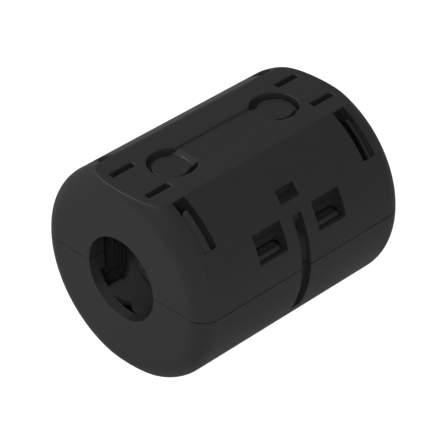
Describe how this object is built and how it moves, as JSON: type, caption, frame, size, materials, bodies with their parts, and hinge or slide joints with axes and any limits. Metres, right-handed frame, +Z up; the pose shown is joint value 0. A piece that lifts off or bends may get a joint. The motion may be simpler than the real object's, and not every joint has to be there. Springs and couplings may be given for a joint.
{
  "type": "clip-on ferrite bead",
  "caption": "Hinged clip-on ferrite bead for a round cable: black moulded case with flats top and bottom, film hinge, latch windows and a split ferrite core inside.",
  "frame": {"origin": "on the cable axis at mid-length, in the plane where the two shells meet", "axes": "+X towards the latch side, +Y along the cable axis away from the near end, +Z up through the top flat"},
  "size_m": [0.0265, 0.0324, 0.0234],
  "materials": {
    "case": "smooth moulded nylon, black, fine satin",
    "ferrite": "sintered nickel-zinc ferrite, dark grey",
    "hinge": "smooth moulded nylon, black, thin band"
  },
  "bodies": {
    "base": {"lower_shell": "case", "lower_core": "ferrite", "hinge_straps": "hinge"},
    "lid": {"upper_shell": "case", "upper_core": "ferrite"}
  },
  "joints": [
    {"name": "lid_hinge", "type": "hinge", "parent": "base", "child": "lid", "pos_m": [-0.01345, 0, 0], "axis": [0, -1, 0], "range_deg": [0, 180], "deforming": ["hinge_straps"]}
  ]
}
